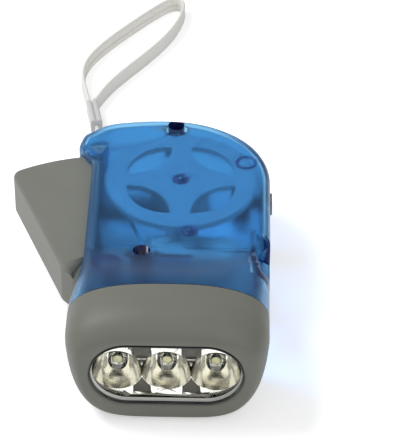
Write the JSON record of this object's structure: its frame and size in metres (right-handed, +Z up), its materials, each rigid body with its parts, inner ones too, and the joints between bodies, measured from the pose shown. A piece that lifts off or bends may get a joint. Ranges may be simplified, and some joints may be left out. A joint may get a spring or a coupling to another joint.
{
  "type": "squeeze dynamo flashlight",
  "caption": "Pocket flashlight with a squeeze lever that spins a geared generator inside a clear case, a wide grey lamp head and a braided wrist strap.",
  "frame": {"origin": "on the flat underside that the torch rests on, in the middle of the case's width and 47 mm behind the front rim of the head", "axes": "+Y runs from the lamp head to the rear end, +Z is up away from the resting face, +X is to the side away from the squeeze lever"},
  "size_m": [0.0708, 0.1899, 0.0326],
  "materials": {
    "clear_blue": "clear tinted",
    "grey_plastic": "satin",
    "clear_lens": "clear",
    "bright_reflector": "metallised",
    "white_board": "matt",
    "clear_led": "clear",
    "steel": "bright",
    "white_nylon": "satin",
    "dark_magnet": "matt",
    "black_plastic": "matt",
    "copper": "enamelled",
    "pale_plastic": "satin",
    "nickel_strip": "bright",
    "green_board": "matt",
    "red_insulation": "satin",
    "black_insulation": "satin",
    "cream_cord": "woven",
    "grey_ferrule": "satin"
  },
  "bodies": {
    "case": {"upper_case": "clear_blue", "lower_case": "clear_blue", "head_bezel": "grey_plastic", "front_lens": "clear_lens", "lens_seal": "black_plastic", "reflector": "bright_reflector", "led_board": "white_board", "led_1": "clear_led", "led_2": "clear_led", "led_3": "clear_led", "lever_pin": "steel", "main_axle": "steel", "rotor_axle": "steel", "lever_spring": "steel", "claw_ring": "steel", "coil_bobbin": "black_plastic", "generator_coil": "copper", "generator_cover": "pale_plastic", "case_screws": "steel", "cell_1": "steel", "cell_2": "steel", "cell_3": "steel", "cell_links": "nickel_strip", "cell_sleeve": "black_plastic", "charge_board": "green_board", "capacitor": "black_plastic", "rectifier_diodes": "black_plastic", "switch_body": "black_plastic", "wire_red": "red_insulation", "wire_black": "black_insulation", "strap_string": "cream_cord", "strap_knot": "cream_cord", "strap_ferrule": "grey_ferrule", "strap_loop": "cream_cord"},
    "lever": {"squeeze_lever": "grey_plastic"},
    "drive": {"drive_pinion": "white_nylon", "ratchet_wheel": "white_nylon"},
    "gear": {"drive_gear": "white_nylon", "pawl_carrier": "white_nylon", "clutch_pawls": "white_nylon"},
    "rotor": {"rotor_pinion": "white_nylon", "ring_magnet": "dark_magnet"},
    "switch": {"switch_knob": "grey_plastic"},
    "lock": {"lock_slider": "grey_plastic"}
  },
  "joints": [
    {"name": "lever_hinge", "type": "hinge", "parent": "case", "child": "lever", "pos_m": [-0.0162, -0.0152, 0.016], "axis": [0, 0, -1], "range_deg": [0, 20], "stiffness_Nm_per_rad": 0.3, "springref_deg": -17.19},
    {"name": "drive_spin", "type": "hinge", "parent": "case", "child": "drive", "pos_m": [0.00177, 0.02165, 0.0157], "axis": [0, 0, -1], "range_deg": [-117, 0]},
    {"name": "gear_spin", "type": "hinge", "parent": "case", "child": "gear", "pos_m": [0.00177, 0.02165, 0.0236], "axis": [0, 0, -1], "continuous": true},
    {"name": "rotor_spin", "type": "hinge", "parent": "case", "child": "rotor", "pos_m": [0.00458, -0.00057, 0.0236], "axis": [0, 0, -1], "continuous": true},
    {"name": "switch_slide", "type": "slide", "parent": "case", "child": "switch", "axis": [0, -1, 0], "range_m": [0, 0.003]},
    {"name": "lock_slide", "type": "slide", "parent": "case", "child": "lock", "axis": [0, 1, 0], "range_m": [0, 0.004]}
  ],
  "couplings": [
    {"joint": "drive_spin", "follows": "lever_hinge", "ratio": -5.8333},
    {"joint": "rotor_spin", "follows": "gear_spin", "ratio": -10.2}
  ]
}
